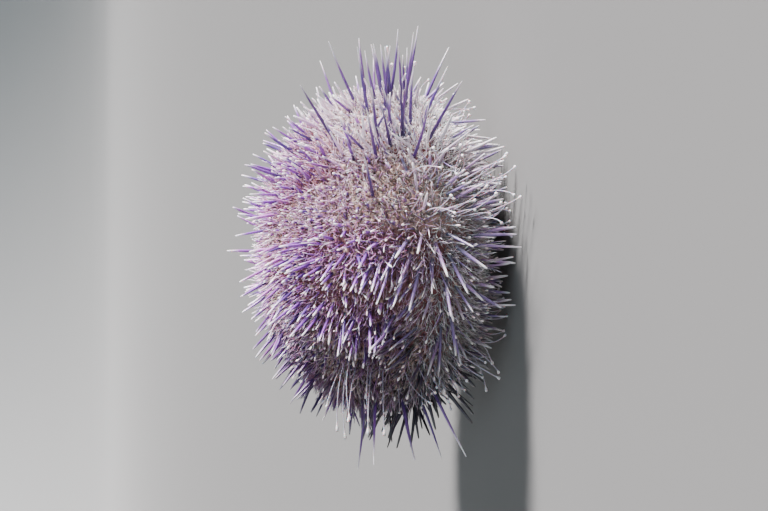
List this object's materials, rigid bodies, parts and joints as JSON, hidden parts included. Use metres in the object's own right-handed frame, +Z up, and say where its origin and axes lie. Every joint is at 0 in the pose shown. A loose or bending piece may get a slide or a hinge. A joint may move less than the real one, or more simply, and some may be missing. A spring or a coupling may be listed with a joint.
{
  "type": "edible sea urchin",
  "caption": "Life-size still sea urchin: round reddish body covered in violet white-tipped spines, with pale tube feet, standing mouth down.",
  "frame": {"origin": "on the floor, below the centre of the box round the whole animal", "axes": "+Z up, from the mouth to the apex; +X towards the tuft of tall spines; the picture looks along +Y"},
  "size_m": [0.15, 0.1312, 0.0865],
  "materials": {
    "ambulacral_spines": "satin, pale lilac to white at the tips",
    "violet_spines": "satin violet, fading to white tips",
    "reddish_skin": "moist matt reddish skin",
    "tooth": "smooth white, slightly glossy"
  },
  "bodies": {
    "root": {"ambulacrum_1": "ambulacral_spines", "interambulacrum_1": "violet_spines", "ambulacrum_2": "ambulacral_spines", "interambulacrum_2": "violet_spines", "ambulacrum_3": "ambulacral_spines", "interambulacrum_3": "violet_spines", "ambulacrum_4": "ambulacral_spines", "interambulacrum_4": "violet_spines", "ambulacrum_5": "ambulacral_spines", "interambulacrum_5": "violet_spines", "apical_disc": "reddish_skin", "periproct": "reddish_skin", "peristome": "reddish_skin", "teeth": "tooth"}
  },
  "joints": []
}
